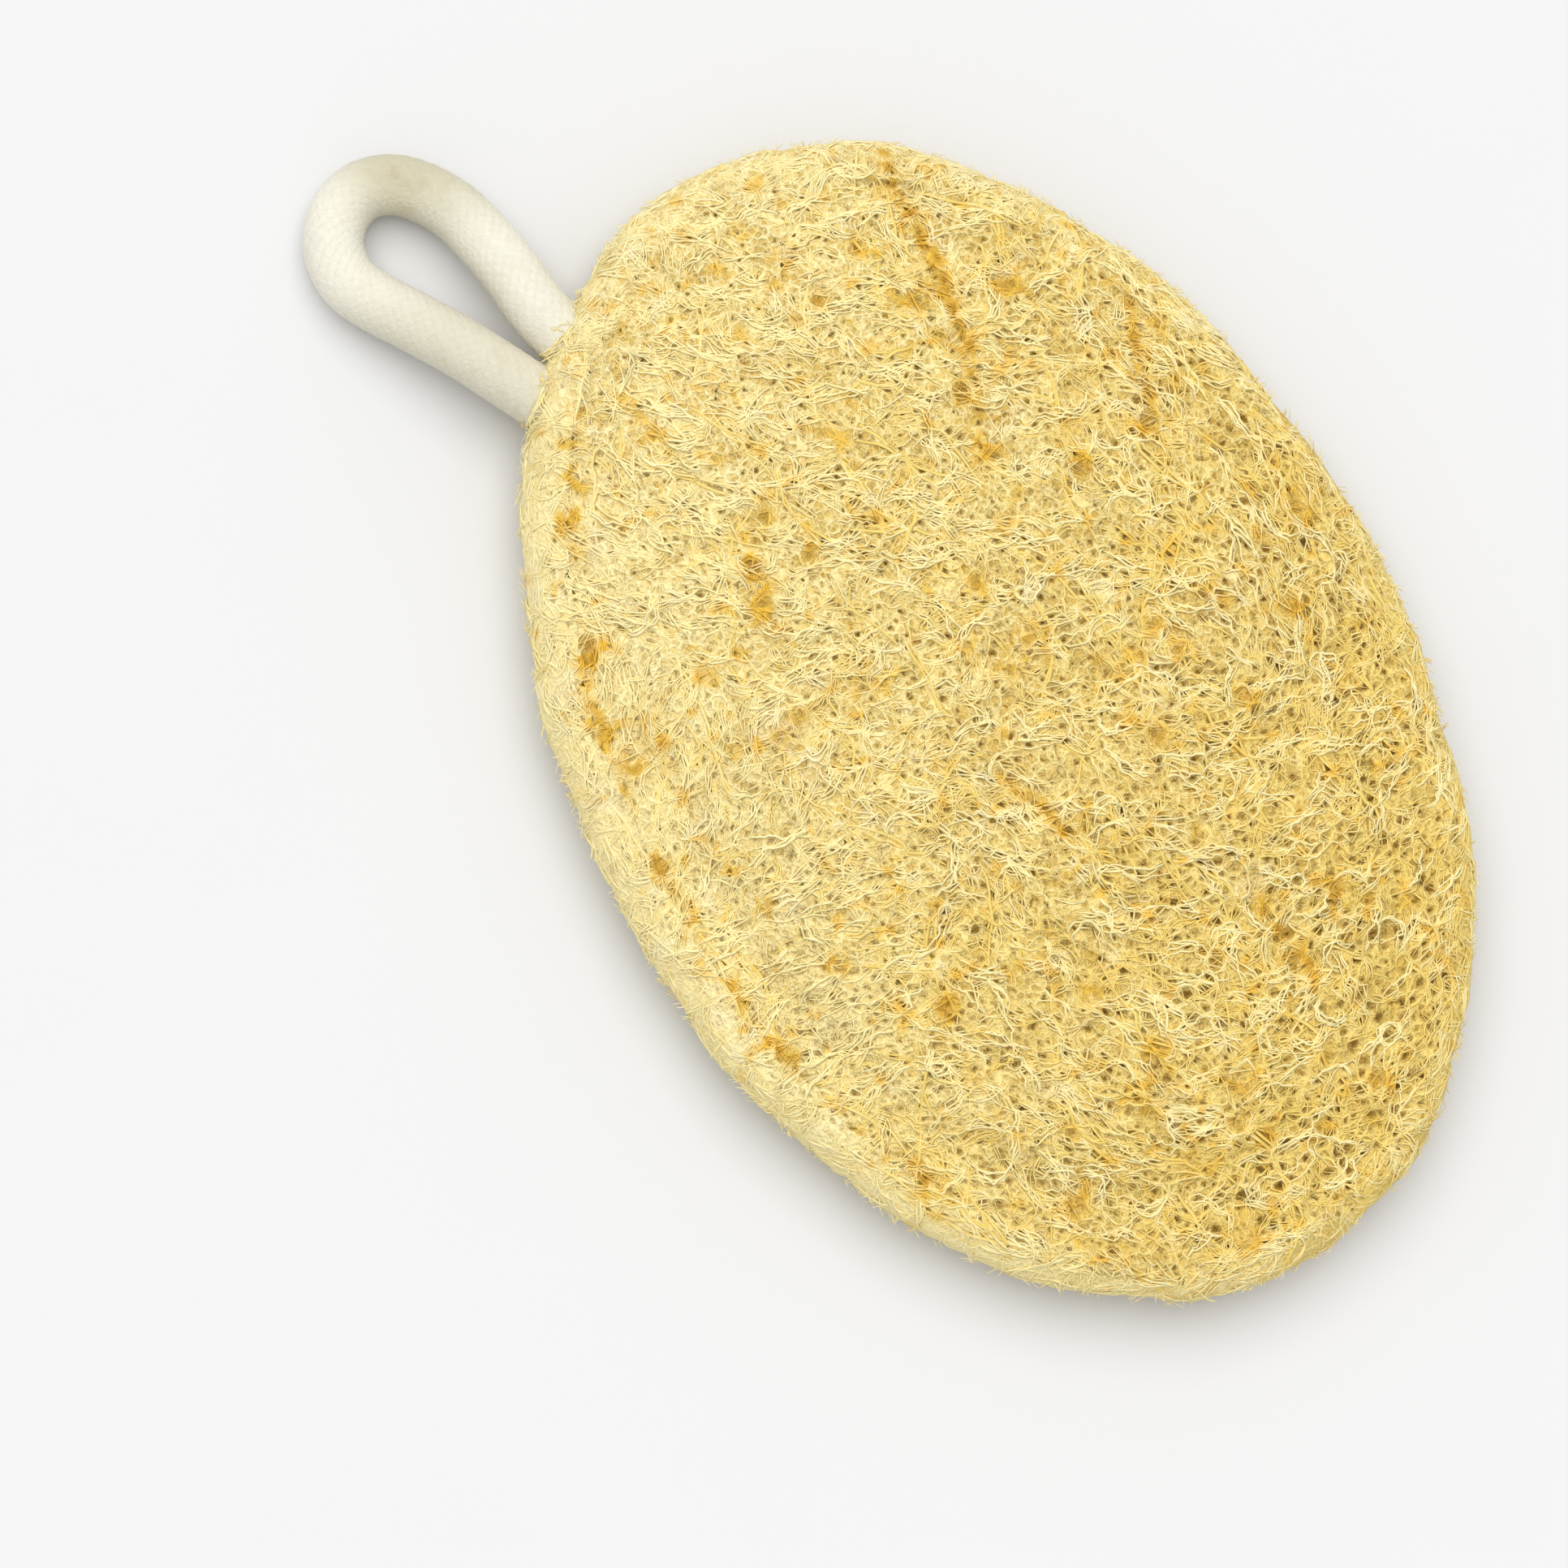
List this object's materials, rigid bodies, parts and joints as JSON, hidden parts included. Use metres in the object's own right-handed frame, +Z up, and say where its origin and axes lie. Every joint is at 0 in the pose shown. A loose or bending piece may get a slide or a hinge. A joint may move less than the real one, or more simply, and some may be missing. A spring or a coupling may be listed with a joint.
{
  "type": "natural loofah sponge",
  "caption": "Flat oval loofah scrubbing pad with a pitted fibre-net surface, a rolled rim and a cotton rope loop at one end to hang it by.",
  "frame": {"origin": "centre of the pad's outline, on the surface that the pad lies on", "axes": "+Y along the pad's long axis towards the loop, +X across it, +Z up out of the upper face"},
  "size_m": [0.0954, 0.1605, 0.017],
  "materials": {
    "loofah_fibre": "matt, dry, felted net of pale straw plant fibre",
    "cotton_rope": "matt, soft, unbleached cotton braid"
  },
  "bodies": {
    "root": {"loofah_pad": "loofah_fibre", "hanging_loop": "cotton_rope"}
  },
  "joints": []
}
